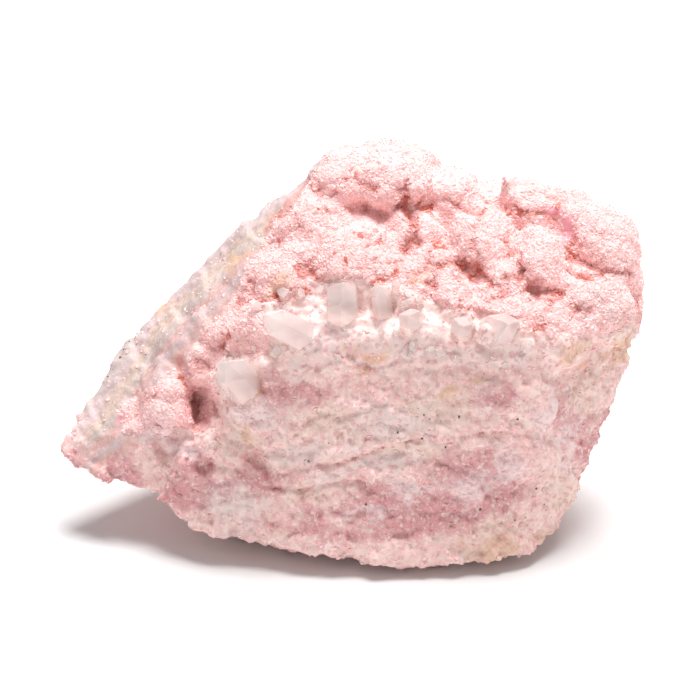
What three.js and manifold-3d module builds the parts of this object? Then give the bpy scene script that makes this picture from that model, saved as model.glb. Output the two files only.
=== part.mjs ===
// A hand specimen of rhodochrosite with quartz: one broken block of pink vein rock, whose upper
// slope is a crust of rounded, sugary mounds, and nine clear quartz crystals that stand in seats
// along the ledge below the crust, on the crest and in a small vug at the left.
//
// Millimetres. +X runs right along the ledge, +Y goes back, +Z is up, and the block stands on the
// flat of its underside. The origin is the middle of the bounding box's underside.

import * as THREE from "three";
import { ConvexGeometry } from "three/addons/geometries/ConvexGeometry.js";
import { mergeVertices } from "three/addons/utils/BufferGeometryUtils.js";
import Module from "manifold-3d";

const wasm = await Module();
wasm.setup();

// Driving dimensions.
const SEAT_DEPTH = 3; // how deep a crystal's root sits in the rock
const SEAT_GAP = 0.3; // clearance between a crystal and its seat
const MOUND_DETAIL = 2; // subdivisions of the icosahedron behind each mound
const MOUND_FLATNESS = 0.66; // a mound's height over its radius
const CORE = new THREE.Vector3(0, 10, 22); // the mounds swell outwards from here
const CRYSTAL_SIDES = 6;
const POINT_HEIGHT = 0.5; // a crystal's pointed end, over its width
const ROOT_TAPER = 1.04; // a prism's breadth at its root, over its width
const SHOULDER_TAPER = 0.93; // and at its shoulders, where the point begins
const LONG_FACE = 1.35; // how far the point's long faces reach down, over the point's height
const SHORT_FACE = 0.8;
const APEX_SHIFT = [0.08, -0.05]; // how far the apex stands off the axis, over the width
const UP = new THREE.Vector3(0, 0, 1);

const ROCK = new THREE.MeshStandardMaterial({ color: 0xeab9b4, roughness: 0.75 });
const QUARTZ = new THREE.MeshStandardMaterial({ color: 0xf4ecea, roughness: 0.08 });

// ---- From geometry to solid and back ----

function solidOf(geometry) {
  const bare = geometry.clone();
  bare.deleteAttribute("normal");
  bare.deleteAttribute("uv");
  const merged = mergeVertices(bare, 1e-4);
  return new wasm.Manifold(
    new wasm.Mesh({
      numProp: 3,
      vertProperties: new Float32Array(merged.attributes.position.array),
      triVerts: new Uint32Array(merged.index.array),
    }),
  );
}

function geometryOf(solid) {
  const mesh = solid.getMesh();
  const geometry = new THREE.BufferGeometry();
  geometry.setAttribute("position", new THREE.BufferAttribute(mesh.vertProperties, 3));
  geometry.setIndex(new THREE.BufferAttribute(mesh.triVerts, 1));
  geometry.computeVertexNormals();
  return geometry;
}

function hull(...corners) {
  return solidOf(new ConvexGeometry(corners.map((corner) => new THREE.Vector3(...corner))));
}

// A flattened ball, whose short axis points along a direction.
function ellipsoid(centre, radii, towards) {
  const geometry = new THREE.IcosahedronGeometry(1, MOUND_DETAIL);
  geometry.scale(...radii);
  geometry.applyQuaternion(new THREE.Quaternion().setFromUnitVectors(UP, towards));
  geometry.translate(...centre);
  return solidOf(geometry);
}

// The outer shell alone: neighbouring mounds can close a pinhole of air between them.
function withoutVoids(solid) {
  const shells = solid.decompose();
  return shells.reduce((outer, shell) => (shell.volume() > outer.volume() ? shell : outer));
}

// ---- The rock ----

// The main block, by the corners of its fracture faces.
const frontFoot = [
  [-35.2, -17.2, 11.6],
  [-30.6, -20.4, 8.2],
  [-25.4, -22.4, 6.6],
  [-15, -24.4, 5.9],
  [-3.7, -26.4, 4.8],
  [13.5, -27.4, 3],
  [22.2, -27, 3],
  [29.6, -24.8, 3.6],
  [36.8, -20, 3.8],
  [39.4, -15, 4.6],
];
const sole = [
  [-20, -12, 0],
  [12, -19, 0],
  [29, -15, 0],
  [32, 5, 0],
  [18, 20, 0],
  [-14, 18, 0],
  [-24, 4, 0],
];
const ledge = [
  [-24, -17, 34],
  [-9, -20, 44],
  [9, -20, 47],
  [27, -21, 46.5],
  [34, -20, 44],
];
const rightFace = [
  [35.7, -21, 27],
  [41.4, -12, 7.8],
  [44, -11, 18.5],
  [47, -9, 25.4],
  [49.5, -7, 33],
  [54, -3, 40],
  [54.8, -1, 44.5],
  [53.5, 3, 48.5],
];
const crest = [
  [-35.3, 9, 41],
  [-29.5, 10, 46.8],
  [-21, 11, 55.4],
  [-9.6, 12, 64],
  [-1, 13, 68],
  [7, 12, 67],
  [25, 12, 59.5],
  [39, 11, 58],
];
const back = [
  [38, 15, 10],
  [49, 12, 36],
  [36, 26, 32],
  [28, 23, 53],
  [8, 31, 28],
  [0, 24, 58],
  [-14, 29, 24],
  [-30, 21, 18],
  [-24, 22, 40],
];
const block = hull(...frontFoot, ...sole, ...ledge, ...rightFace, ...crest, ...back);

// The thin wedge of vein rock that juts out at the left, clear of the surface below it.
const wedge = hull(
  [-55.2, -6, 16.6],
  [-53.8, -8, 15],
  [-45.9, -12.4, 12.9],
  [-36.6, -14.6, 11.5],
  [-28, -16, 17],
  [-47.6, 1, 24],
  [-42.9, 5, 31.4],
  [-35.3, 9, 41],
  [-42, -6, 26],
  [-33, -12, 27],
  [-26, 2, 37],
  [-40, 9, 17],
  [-30, 15, 14],
);

// The crust's mounds: x, y, z and radius.
const mounds = [
  [0, 9, 65, 8],
  [8.5, 9, 65.2, 9.4],
  [20, 6.5, 61.8, 7.4],
  [27.5, 8, 59.2, 6.8],
  [34.6, 4.5, 60.4, 7.4],
  [41.4, 4, 58.6, 7.4],
  [47, 2, 54.4, 9.2],
  [49.8, 1, 49.6, 6.4],
  [25.6, -2, 56, 9],
  [36.5, -5, 53, 8.6],
  [0.4, -4, 54, 10.8],
  [-6.5, 4, 59, 8.6],
  [-13.5, 5, 55.4, 7.6],
  [13.5, 0, 57.4, 7.6],
  [5.6, -8.4, 51.4, 7.6],
  [11.5, -9.5, 50, 8.4],
  [18, -5.4, 53.4, 7.4],
  [20.8, -11.5, 48.8, 7.6],
  [30.4, -8.6, 50.6, 7.2],
  [29.6, -13.5, 47.4, 7.6],
  [46.4, -5, 46.5, 8.4],
  [41.6, -9.4, 47.6, 7.4],
  [38.2, -13.5, 44.6, 7.6],
  [-9, -6, 52.4, 8.2],
  [-4.6, -11, 47.4, 7],
  [-17, -1, 50.6, 7],
  [-13.7, -10.5, 45, 8.4],
  [-22.5, -6, 41.5, 7.4],
  [-25.4, 0, 43.6, 6.8],
  [-27.5, -7, 34.5, 6.6],
  [-31.6, -2.6, 35.4, 6.6],
  [-34.6, -8.5, 27, 7.2],
  [-19.4, -15.5, 27.4, 6.8],
  [-11, -14, 36, 8.8],
].map(([x, y, z, radius]) => {
  const outwards = new THREE.Vector3(x, y, z).sub(CORE).normalize();
  return ellipsoid([x, y, z], [radius, radius, radius * MOUND_FLATNESS], outwards);
});

// The vug between the wedge and the block, and the hollow under the mound beside it.
const vug = ellipsoid([-27.2, -13, 28.6], [2.6, 4.6, 9], new THREE.Vector3(0.3, -0.9, 0.3).normalize());
const hollow = ellipsoid([-17.5, -21.5, 20.6], [2.8, 2.2, 3.6], new THREE.Vector3(0, -1, 0));

// ---- The quartz ----

// A six-sided prism from the foot to the shoulders, under a point with three long and three short
// faces. The local axis is Z, and grow widens it all round to make its seat.
function crystalHull({ width, length, flat = 1 }, grow = 0) {
  const corners = [];
  const point = width * POINT_HEIGHT;
  for (let k = 0; k < CRYSTAL_SIDES; k += 1) {
    const turn = (2 * Math.PI * k) / CRYSTAL_SIDES;
    const shoulder = length - point * (k % 2 ? LONG_FACE : SHORT_FACE);
    for (const [height, taper] of [
      [-SEAT_DEPTH - grow, ROOT_TAPER],
      [shoulder + grow, SHOULDER_TAPER],
    ]) {
      const radius = (width / 2) * taper + grow;
      corners.push([radius * Math.cos(turn), radius * flat * Math.sin(turn), height]);
    }
  }
  corners.push([width * APEX_SHIFT[0], width * APEX_SHIFT[1], length + grow]);
  return hull(...corners);
}

const crystals = {
  quartz_left_point: { foot: [-8.8, -18.4, 45.6], tip: [-15.8, -24, 52], width: 6.6, flat: 0.85, spin: 10 },
  quartz_upright: { foot: [-1.2, -15.5, 48.5], tip: [-1.8, -18.5, 56.2], width: 6.8, flat: 0.9, spin: 30 },
  quartz_slim: { foot: [6, -15.5, 48.6], tip: [5.2, -18, 55.4], width: 3.8, spin: 12 },
  quartz_centre: { foot: [11.5, -18, 48], tip: [10, -23, 51.5], width: 5, flat: 0.8, spin: 25 },
  quartz_ledge: { foot: [20.5, -19, 47], tip: [19.6, -24, 50], width: 4.6, spin: 5 },
  quartz_right: { foot: [26.6, -19, 46.4], tip: [27.6, -25.5, 51.4], width: 7.8, flat: 0.8, spin: 20 },
  quartz_lower_left: { foot: [-19, -17.5, 34.4], tip: [-22.8, -24, 43], width: 7.4, flat: 0.85, spin: 15 },
  quartz_vug: { foot: [-25.2, -16, 21.6], tip: [-26.4, -21, 25], width: 3.6, flat: 0.8, spin: 8 },
  quartz_crest: { foot: [29.8, 4.6, 62.8], tip: [29, 3.2, 67.4], width: 3.6, spin: 18 },
};

function standing({ foot, tip, spin = 0 }) {
  const from = new THREE.Vector3(...foot);
  const axis = new THREE.Vector3(...tip).sub(from).normalize();
  const turn = new THREE.Quaternion().setFromUnitVectors(UP, axis);
  const roll = new THREE.Quaternion().setFromAxisAngle(UP, THREE.MathUtils.degToRad(spin));
  return new THREE.Matrix4().compose(from, turn.multiply(roll), new THREE.Vector3(1, 1, 1));
}

function lengthOf({ foot, tip }) {
  return new THREE.Vector3(...foot).distanceTo(new THREE.Vector3(...tip));
}

// ---- The specimen ----

const seats = [];
const specimen = new THREE.Group();
for (const [name, crystal] of Object.entries(crystals)) {
  const shape = { ...crystal, length: lengthOf(crystal) };
  const place = standing(crystal);
  const mesh = new THREE.Mesh(geometryOf(crystalHull(shape)), QUARTZ);
  mesh.name = name;
  mesh.applyMatrix4(place);
  specimen.add(mesh);
  seats.push(crystalHull(shape, SEAT_GAP).transform(place.elements));
}

const grown = withoutVoids([block, wedge, ...mounds].reduce((whole, piece) => whole.add(piece)));
const matrix = new THREE.Mesh(
  geometryOf([vug, hollow, ...seats].reduce((whole, piece) => whole.subtract(piece), grown)),
  ROCK,
);
matrix.name = "rhodochrosite_matrix";
specimen.add(matrix);

// The origin moves to the middle of the bounding box's underside.
const box = new THREE.Box3().setFromObject(specimen, true);
const middle = box.getCenter(new THREE.Vector3());
specimen.position.set(-middle.x, -middle.y, -box.min.z);

export default specimen;
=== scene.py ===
"""Looks of a rhodochrosite hand specimen, laid out as an add-on.

The rock is a fine remesh of the frame's own solid, carved by noise, and each of its points remembers
how sugary, creviced, stained or creamy it is. The crust's grains and the quartz grow on that surface.
Lengths are in metres unless a name or a comment says millimetres.
"""

import math

import bmesh
import bpy
import numpy as np
from bpy.props import FloatProperty, FloatVectorProperty, IntProperty, PointerProperty
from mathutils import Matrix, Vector, noise
from mathutils.bvhtree import BVHTree


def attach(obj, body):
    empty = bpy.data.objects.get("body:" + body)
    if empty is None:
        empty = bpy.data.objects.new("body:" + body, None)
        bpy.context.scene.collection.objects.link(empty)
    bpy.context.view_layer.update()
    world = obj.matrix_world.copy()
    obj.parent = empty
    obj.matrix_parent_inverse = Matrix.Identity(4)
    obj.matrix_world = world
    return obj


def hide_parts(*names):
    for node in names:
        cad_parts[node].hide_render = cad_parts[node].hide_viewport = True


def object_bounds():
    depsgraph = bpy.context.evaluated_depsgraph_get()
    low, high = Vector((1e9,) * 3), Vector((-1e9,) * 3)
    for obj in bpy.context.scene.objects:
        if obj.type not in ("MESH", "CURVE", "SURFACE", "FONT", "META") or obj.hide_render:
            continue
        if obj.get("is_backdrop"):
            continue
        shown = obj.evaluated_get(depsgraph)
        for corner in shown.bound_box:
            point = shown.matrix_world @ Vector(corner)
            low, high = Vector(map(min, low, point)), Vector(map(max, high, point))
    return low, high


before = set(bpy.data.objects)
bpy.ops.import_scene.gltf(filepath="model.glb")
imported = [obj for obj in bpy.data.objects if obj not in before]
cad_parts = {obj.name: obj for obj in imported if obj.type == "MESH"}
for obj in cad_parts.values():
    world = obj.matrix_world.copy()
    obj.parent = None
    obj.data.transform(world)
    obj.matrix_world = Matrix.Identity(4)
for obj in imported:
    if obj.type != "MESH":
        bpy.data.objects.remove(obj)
FRAME_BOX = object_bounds()

bl_info = {
    "name": "Rhodochrosite Specimen",
    "version": (1, 0, 0),
    "blender": (4, 5, 0),
    "location": "View3D > Sidebar > Specimen",
    "description": "Builds a rhodochrosite hand specimen with a sugary crust and quartz crystals",
    "category": "Add Mesh",
}

MM = 0.001
ROCK_NODE = "rhodochrosite_matrix"
QUARTZ_NODES = sorted(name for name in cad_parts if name.startswith("quartz"))
ATLAS = "OFBake"  # the name of the map that each textured piece brings

# ---- Places on the specimen ----
#
# A place is given in millimetres right of and above the point that the camera aims at, as it shows
# on an upright card there. The card faces the display side of the specimen.

DRUSE_OUTLINE = [
    (-2.5, 40), (-5.5, 33.5), (-9, 29.5), (-12.5, 26), (-16, 21), (-19, 15.5), (-21, 10), (-24, 6),
    (-27.5, 1), (-30.5, -3.5), (-35, -6), (-39.5, -8.5), (-43.5, -11.5), (-41.5, -15), (-35, -14.5),
    (-27, -14), (-25.5, -9.5), (-25.5, -4), (-23, -0.5), (-16, -0.5), (-15, 3), (-17.5, 9), (-12, 9.5),
    (-8.5, 9.5), (-7, 12), (-4, 13.5), (2, 13.5), (8.5, 11.5), (15, 9.5), (22.5, 7), (28, 6), (32, 5),
    (35, 3.5), (39.5, 2.5), (48, 4), (51.5, 4.5), (55, 6.5), (62, 11.5), (62, 34), (40, 42), (19, 44),
]
QUARTZ_OUTLINE = [
    (-19, 9.5), (-9.5, 13), (-1, 13.5), (8.5, 11.5), (15, 9.5), (22.5, 7), (28, 6), (33, 4.5), (35.5, 1),
    (34, -2.5), (29, -3.5), (17, -2.5), (9.5, -3), (4, 0), (-1, -0.5), (-4, -2.5), (-9.5, -3), (-15, -3),
    (-16.5, -6.5), (-23.5, -9.5), (-25, -5.5), (-24, -1), (-19, 0), (-16.5, 4),
]
FIBROUS_OUTLINE = [
    (35.5, 1), (47, 3), (58, 11), (58, 4), (49, -13), (46, -22.5), (42, -30), (37, -37), (35, -32),
    (34, -22.5), (34, -13), (33.5, -5.5),
]
WALL_EDGE = [
    (-54.5, -16.5), (-49, -11), (-43, -2), (-40.5, 2.5), (-35, 10), (-23.5, 22), (-12, 30.5), (-1, 37),
]
CRACK = [
    (-13, -24), (-9.5, -22.5), (-3, -21), (3, -19.5), (6.5, -18), (11.5, -17), (15, -16), (20.5, -16),
    (28, -15),
]
LOWER_LEDGE = [(-24, -20.5), (-16, -26), (-9, -26.5), (-2, -24.5), (4, -25)]
LOBE_CRACK = [(41, 15.5), (45, 14), (52.5, 14.5)]

# Hollows between the mounds: where, radius and depth, in millimetres.
PITS = [
    (11, 24, 1.5, 1.7), (10.2, 27.5, 1.2, 1.2), (12.5, 20.5, 1.4, 1.4), (21, 15.5, 1.8, 1.4),
    (26, 10, 1.4, 1.0), (32, 15.5, 1.3, 1.1), (35, 11.5, 1.6, 1.0), (43, 8, 1.8, 1.1),
    (-8.5, 15, 2.0, 1.4), (10.5, 31, 1.0, 0.9), (14.5, 17.5, 1.2, 0.9), (24, 13.5, 1.4, 0.8),
    (-18.5, 11.5, 1.3, 1.2), (-24.5, 1, 1.4, 1.2), (-27.5, -2.5, 1.5, 1.2), (-14, 10, 1.2, 0.9),
    (4, 16.5, 1.0, 0.8), (16, 12.5, 1.2, 0.9), (29, 11.5, 2.0, 1.1), (-19, -20.5, 2.4, 1.0),
    (-3, 30, 1.0, 0.9), (-28, -22, 1.4, 1.2),
]

# Hollows of the solid that are levelled a little: where, radius, and how many smoothing passes.
SHALLOWS = [(-19, -20.5, 5.5, 160), (-27.5, -9.5, 5.5, 90)]

# Crevices between the mounds of the crust: the line, half breadth and depth, in millimetres.
CREVICES = [
    ([(10, 30), (11, 27.5), (12.5, 24), (12, 21.5), (10.5, 19)], 1.0, 1.7),
    ([(2, 31), (5, 30.5)], 0.7, 0.9), ([(17.5, 28.5), (21, 27), (25, 25.5)], 0.6, 0.7),
    ([(30, 27.5), (34, 26), (38.5, 25)], 0.7, 0.9), ([(23.5, 20), (24, 15.5)], 0.7, 0.9),
    ([(42, 21.5), (42, 17.5), (43, 16.5), (47, 15), (53, 14.5)], 0.6, 1.0),
    ([(17, 16), (21, 17), (23.5, 15.5), (27, 12.5)], 0.8, 1.0),
    ([(32.5, 18), (32.5, 14), (30, 14)], 0.6, 1.0), ([(32.5, 14), (35, 13.5)], 0.5, 0.7),
    ([(33, 11.5), (36, 11.5), (40, 11), (37, 7.5)], 0.6, 0.8), ([(42.5, 7.5), (46, 8)], 0.7, 0.9),
    ([(-9.5, 16.5), (-7.5, 15.5), (-6, 14)], 0.9, 1.1), ([(-20.5, 9.5), (-16, 9.5)], 0.7, 0.9),
    ([(11, 15), (15, 15.5), (16.5, 16)], 0.5, 0.6), ([(-10.5, 25.5), (-9, 23)], 0.5, 0.6),
    ([(-7.5, 32), (-11.5, 27.5), (-16.5, 22.5)], 0.6, 0.7),
    ([(23.5, 7.5), (29, 6), (34.5, 6)], 0.4, 0.35),
    ([(-32, -2), (-30, -7.5), (-29, -11.5), (-29, -14.5)], 0.7, 0.6),
]

# Patches of colour, in millimetres: where, half breadth, half height, and the lean in degrees.
PATCHES = {
    "stain": [
        (4, -0.5, 4, 1.8, 5), (2, -4, 1.4, 2.8, -20), (-17.5, -7, 2.2, 2.4, 0), (11.5, 14, 2.2, 1.6, 0),
        (43, -0.5, 3.6, 2.4, 20), (50, 0, 1.6, 5, -20), (-13, 13, 1.2, 3.5, -35), (18, -8, 2.2, 1.2, 0),
        (-19, -16.5, 2, 1.5, 0), (-20.5, 17, 1, 3.4, -40), (24, -6, 2.5, 1, 0),
        (-35, 8.5, 2.2, 4.5, -40),
    ],
    "cream": [
        (29, -35.5, 14, 3.5, 4), (39.5, -27, 4.5, 7, -15), (-24, 16, 3, 9, -42), (52.5, 3, 2.4, 6, -15),
        (-8, -27.5, 6, 2, 0), (-20, -17.5, 6, 2.6, 0), (9, -18.8, 9, 1.6, 6), (45, -8, 3, 6, -15),
        (-3, -13, 7, 4, 0), (16, -11, 9, 4, 0), (26, -38.5, 12, 2, 4),
    ],
    "grey": [
        (-21.5, -29, 5.5, 4.5, 0), (-45, -3, 2.5, 8, -32), (-41, 4, 2.4, 5, -40), (50, 9, 2.5, 3, 0),
        (-10, -20, 6, 2, 10), (4, -22, 12, 2, 6), (-48, -9, 2, 5, -45), (-21, 21, 2, 7, -42),
        (47, 9.5, 3.5, 2.2, 0), (10, -13, 12, 3, 0),
    ],
    "rose": [
        (15, -32, 17, 5.5, 0), (-4, -37, 16, 3.2, 8), (-46.5, -19.5, 8.5, 3.2, -28),
        (-32, -26.5, 5, 6, -35), (22.5, -22, 10, 4.5, 0), (26, -30, 8, 4, 0), (-15, -8, 4, 4, 0),
        (28, -9, 3, 3, 0), (41.8, -13, 4.6, 4, -15), (47, -12, 3, 3, -15), (-30, -20, 3, 4, 0),
        (-17, -25, 8, 3, 0), (-44, -22.5, 7, 2.8, -28), (-51, -18.5, 5, 2.6, -28), (-26, -25, 3, 3, 0),
        (5, -40, 14, 3, 8), (-13, -35, 8, 3, 10), (30, -27, 6, 3.4, 0), (-25, -27, 5, 3, 0),
        (45, -19, 3, 5, -15), (-9, -9, 6, 3, 0), (5, -29, 6, 4, 0), (-8, -33, 6, 4, 0),
    ],
    "lilac": [
        (28.8, 11.4, 1.6, 1.4, 0), (-36.5, -14, 7, 3.4, -24), (-32, -18, 4, 2.5, -20),
        (22, -25, 5, 3, 0), (30, -22, 4, 3, 0), (-30, 4, 3, 9, -42), (47, 9, 4, 3, 0),
        (12, -27, 5, 2, 0), (36, -12, 1.2, 9, 0), (41, -18, 1.4, 8, -12), (-19, -12, 4, 2.4, 0),
        (4, -31, 4, 1.5, 0), (-5, 4, 4, 3, 0),
    ],
    "vivid": [
        (40.4, 23, 1.7, 4.2, 8), (38.5, 26, 3, 1.2, 0), (-43, -12.5, 1, 0.8, 0), (8, 34, 1.6, 1.4, 0),
    ],
    "smooth": [
        (-36, -12, 4.6, 1.9, -24), (6.5, 36, 9, 3.2, 0), (19, 32, 7.5, 2.6, 0), (29, 29.5, 4, 2, 0),
    ],
}

# Dark grains of sulphide: where each sits.
DARK_GRAINS = [
    (18, -18.2), (15, -13), (13.9, -12.2), (31.5, -13), (31.2, -14), (36.5, -29), (31, -32),
    (36.8, -30), (-8.5, -20.7), (-7.8, -20.9), (3, -29), (13.6, -16.6), (-42.5, 0.2), (-41.5, 1.6),
    (-43.2, -1.4), (-38.4, -0.8), (12.8, -11), (20.5, -12.5), (-4, -17.5), (35, -26), (33, -31.5),
    (-29, 16.2), (9, -15.5), (41.5, 15.2), (-12.4, -22.4), (24.5, -30), (-45.5, -5), (-40, 3),
]

# Spots of red-brown iron oxide that gather in the crust, away from the pits: where, and radius.
RUST_SPOTS = [
    (-4.5, 27, 1.6), (2.5, 22.5, 1.4), (-13, 22, 1.5), (-2, 18, 2.6), (5, 21, 2.2), (14.5, 27, 2),
    (24, 24, 1.8), (31, 26, 2.2), (36, 25, 1.4), (39, 27, 1.5), (17, 19.5, 2), (9, 16, 2),
    (-11, 12, 2.2), (-8, 10.5, 1.8), (13.5, 8.5, 1.4), (22, 9, 1.5), (41.5, 18, 1.2), (30, 21, 1.6),
    (38, 9, 2), (36, 4.5, 1.3), (-22, 3, 1.6), (-31, -5, 1.2), (-37.5, -7.5, 1), (0, 33, 1.6),
    (-7, 30.5, 1.4), (25, 26.5, 1.5), (-14.5, 7.5, 1.5), (6, 13, 1.8),
]


def srgb(code):
    """A colour as scene-linear numbers, from its usual six-digit code."""
    channels = [((code >> shift) & 255) / 255 for shift in (16, 8, 0)]
    return tuple(c / 12.92 if c <= 0.04045 else ((c + 0.055) / 1.055) ** 2.4 for c in channels)


# ---- Settings ----


def length(name, description, default):
    return FloatProperty(name=name, description=description, default=default, unit="LENGTH", precision=5)


def number(name, description, default):
    return FloatProperty(name=name, description=description, default=default)


def count(name, description, default):
    return IntProperty(name=name, description=description, default=default, min=1)


def angle(name, description, degrees):
    default = math.radians(degrees)
    return FloatProperty(name=name, description=description, default=default, unit="ROTATION")


def colour(name, description, code):
    default = srgb(code)
    kind = {"subtype": "COLOR", "size": 3}
    return FloatVectorProperty(name=name, description=description, default=default, **kind)


def place(name, description, default):
    kind = {"unit": "LENGTH", "size": 3}
    return FloatVectorProperty(name=name, description=description, default=default, **kind)


class StageSettings(bpy.types.PropertyGroup):
    aim: place("Aim", "The point that the camera looks at", (0.2 * MM, -1.8 * MM, 34 * MM))
    distance: length("Distance", "From the aim to the camera", 600 * MM)
    height_angle: angle("Height angle", "How high the camera stands above the horizon", 25)
    view_width: length("View width", "What the camera sees across, at the aim", 131.6 * MM)
    floor_size: length("Floor size", "Length of the floor's sides", 6.0)
    sky_strength: number("Sky strength", "Brightness of the white surroundings", 0.42)
    lamp_size: length("Lamp size", "Side of the soft lamp above the specimen", 1.1)
    lamp_place: place("Lamp place", "Where that lamp hangs", (0.25, 0.2, 2.2))
    lamp_power: FloatProperty(name="Lamp power", description="Its power", default=71.0, unit="POWER")
    floor_colour: colour("Floor colour", "The pale floor", 0xE8E8E8)


class RockSettings(bpy.types.PropertyGroup):
    grain: length("Surface grain", "Size of the surface's faces", 0.56 * MM)
    softening: count("Softening", "Passes that round the facets before the carving", 7)
    contrast: number("Mound contrast", "How much the mounds and their valleys are deepened", 0.38)
    swell: length("Swell", "Height of the broad unevenness", 0.9 * MM)
    chips: length("Chips", "Height of the broken facets", 0.5 * MM)
    clumps: length("Clumps", "Height of the crust's clumps", 0.42 * MM)
    pale: colour("Pale pink", "Most of the broken faces", 0xFDE3DD)
    pink: colour("Pink", "Pure rhodochrosite", 0xF0BEB8)
    rose: colour("Rose", "The deepest pink", 0xD0898F)
    cream: colour("Cream", "Chalky bands", 0xEBD0C2)
    grey: colour("Grey", "Bands of grey quartz", 0xE6D4CF)
    lilac: colour("Lilac", "Milky pink quartz", 0xEED6D7)
    stain: colour("Stain", "Iron stain", 0xE2B692)
    rust: colour("Rust", "Iron oxide in the crevices", 0xC8614C)
    # Painted shade: this colour darkens the crevices, step notches, pits and hollows, standing in for
    # the shade that falls there; it is not a colour of the rock.
    shade: colour("Crevice", "The depth of the hollows", 0xC98885)
    vivid: colour("Vivid", "Fresh gemmy rhodochrosite", 0xF3A6B1)
    crust: colour("Crust", "The rock between the crust's grains", 0xFAC9C5)
    cap: colour("Cap", "The smooth tops of the highest mounds", 0xF9D6D3)
    milk: colour("Milk", "Rock under the quartz", 0xF0D6D1)


class DruseSettings(bpy.types.PropertyGroup):
    large: count("Large grains", "How many large grains the crust has", 15500)
    small: count("Small grains", "How many small grains fill its gaps", 15500)
    broken: count("Rock grains", "How many grains roughen the broken faces", 14000)
    light: colour("Light grain", "The palest grains", 0xFFD9D7)
    deep: colour("Deep grain", "The pinkest grains", 0xFDCBC9)


class QuartzSettings(bpy.types.PropertyGroup):
    bevel: length("Edge wear", "Breadth of the worn edges of a crystal", 0.16 * MM)
    points: count("Small points", "How many small crystals stand among the large ones", 90)
    root: length("Root", "How deep a crystal is set in the rock", 3.1 * MM)
    refraction: number("Refraction", "Index of refraction", 1.544)
    tint: colour("Tint", "The faint tint of the crystals", 0xFFF6F3)


# ---- Shader maths ----


class Value:
    """A socket that takes part in Python arithmetic. Each step adds a Math node."""

    def __init__(self, shader, socket):
        self.shader = shader
        self.socket = socket

    def math(self, operation, *values):
        return self.shader.node("ShaderNodeMath", {"operation": operation}, dict(enumerate(values)))

    def __add__(self, other):
        return self.math("ADD", self, other)

    def __sub__(self, other):
        return self.math("SUBTRACT", self, other)

    def __rsub__(self, other):
        return self.math("SUBTRACT", other, self)

    def __mul__(self, other):
        return self.math("MULTIPLY", self, other)

    __radd__ = __add__
    __rmul__ = __mul__

    def limited(self):
        """Between 0 and 1."""
        return self.shader.node("ShaderNodeClamp", {}, {"Value": self})

    def step(self, low, high):
        """0 below low, 1 above high, and smooth between them."""
        settings = {"interpolation_type": "SMOOTHSTEP"}
        sockets = {"Value": self, "From Min": low, "From Max": high}
        return self.shader.node("ShaderNodeMapRange", settings, sockets)


def set_stops(elements, stops):
    """Gives a colour ramp its stops: where each is, and its colour."""
    while len(elements) < len(stops):
        elements.new(1.0)
    for element, (where, tone) in zip(elements, stops):
        element.position = where
        element.color = (*tone, 1)


class Shader:
    """The node tree of one material, around one Principled shader."""

    def __init__(self, name):
        self.material = bpy.data.materials.new(name)
        self.material.use_nodes = True
        self.tree = self.material.node_tree
        self.principled = self.tree.nodes["Principled BSDF"]

    def socket(self, sockets, key):
        if isinstance(key, int):
            return sockets[key]
        return next(s for s in sockets if key in (s.identifier, s.name) and s.enabled)

    def feed(self, socket, value):
        if isinstance(value, Value):
            self.tree.links.new(value.socket, socket)
        elif socket.type == "RGBA":
            socket.default_value = (*value[:3], 1)
        else:
            socket.default_value = value

    def node(self, kind, settings, sockets, output=0):
        """Adds a node: its settings first, then the values or links of its sockets."""
        made = self.tree.nodes.new(kind)
        for key, setting in settings.items():
            if key == "stops":
                set_stops(made.color_ramp.elements, setting)
            else:
                setattr(made, key, setting)
        for key, value in sockets.items():
            self.feed(self.socket(made.inputs, key), value)
        return Value(self, self.socket(made.outputs, output))

    def attribute(self, name):
        return self.node("ShaderNodeAttribute", {"attribute_name": name}, {}, "Fac")

    def place(self):
        return self.node("ShaderNodeTexCoord", {}, {}, "Object")

    def noise(self, size, detail, stretch=None, shift=0.0):
        """Fractal noise whose lumps are about that size, in metres."""
        where = self.place()
        if stretch or shift:
            settings = {"vector_type": "POINT"}
            turns = {"Location": (shift, shift, shift), "Scale": stretch or (1, 1, 1)}
            where = self.node("ShaderNodeMapping", settings, {"Vector": where, **turns})
        sockets = {"Vector": where, "Scale": 1 / size, "Detail": detail, "Roughness": 0.55}
        return self.node("ShaderNodeTexNoise", {}, sockets, "Fac")

    def cells(self, size, output="Distance"):
        """Distance to the nearest cell's middle, or that cell's own colour."""
        sockets = {"Vector": self.place(), "Scale": 1 / size}
        return self.node("ShaderNodeTexVoronoi", {}, sockets, output)

    def red_of(self, value):
        return self.node("ShaderNodeSeparateColor", {}, {"Color": value}, "Red")

    def blend(self, factor, first, second):
        """From the first colour to the second as the factor goes from 0 to 1."""
        settings = {"data_type": "RGBA", "blend_type": "MIX"}
        sockets = {"Factor_Float": factor, "A_Color": first, "B_Color": second}
        return self.node("ShaderNodeMix", settings, sockets, "Result_Color")

    def shaded(self, value, amount):
        """The colour times a grey."""
        settings = {"data_type": "RGBA", "blend_type": "MULTIPLY"}
        grey = self.node("ShaderNodeCombineColor", {}, {"Red": amount, "Green": amount, "Blue": amount})
        sockets = {"Factor_Float": 1.0, "A_Color": value, "B_Color": grey}
        return self.node("ShaderNodeMix", settings, sockets, "Result_Color")

    def bump(self, height, distance, strength):
        sockets = {"Height": height, "Distance": distance, "Strength": strength}
        return self.node("ShaderNodeBump", {}, sockets)

    def surface(self, sockets):
        for key, value in sockets.items():
            self.feed(self.principled.inputs[key], value)
        return self.material


# The layers of the left wall from its edge inwards, and how much darker they are than elsewhere.
WALL_LAYERS = ("grey", "lilac", "cream", "grey", "pink", "lilac", "pink")
WALL_TONE = 0.74
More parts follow.
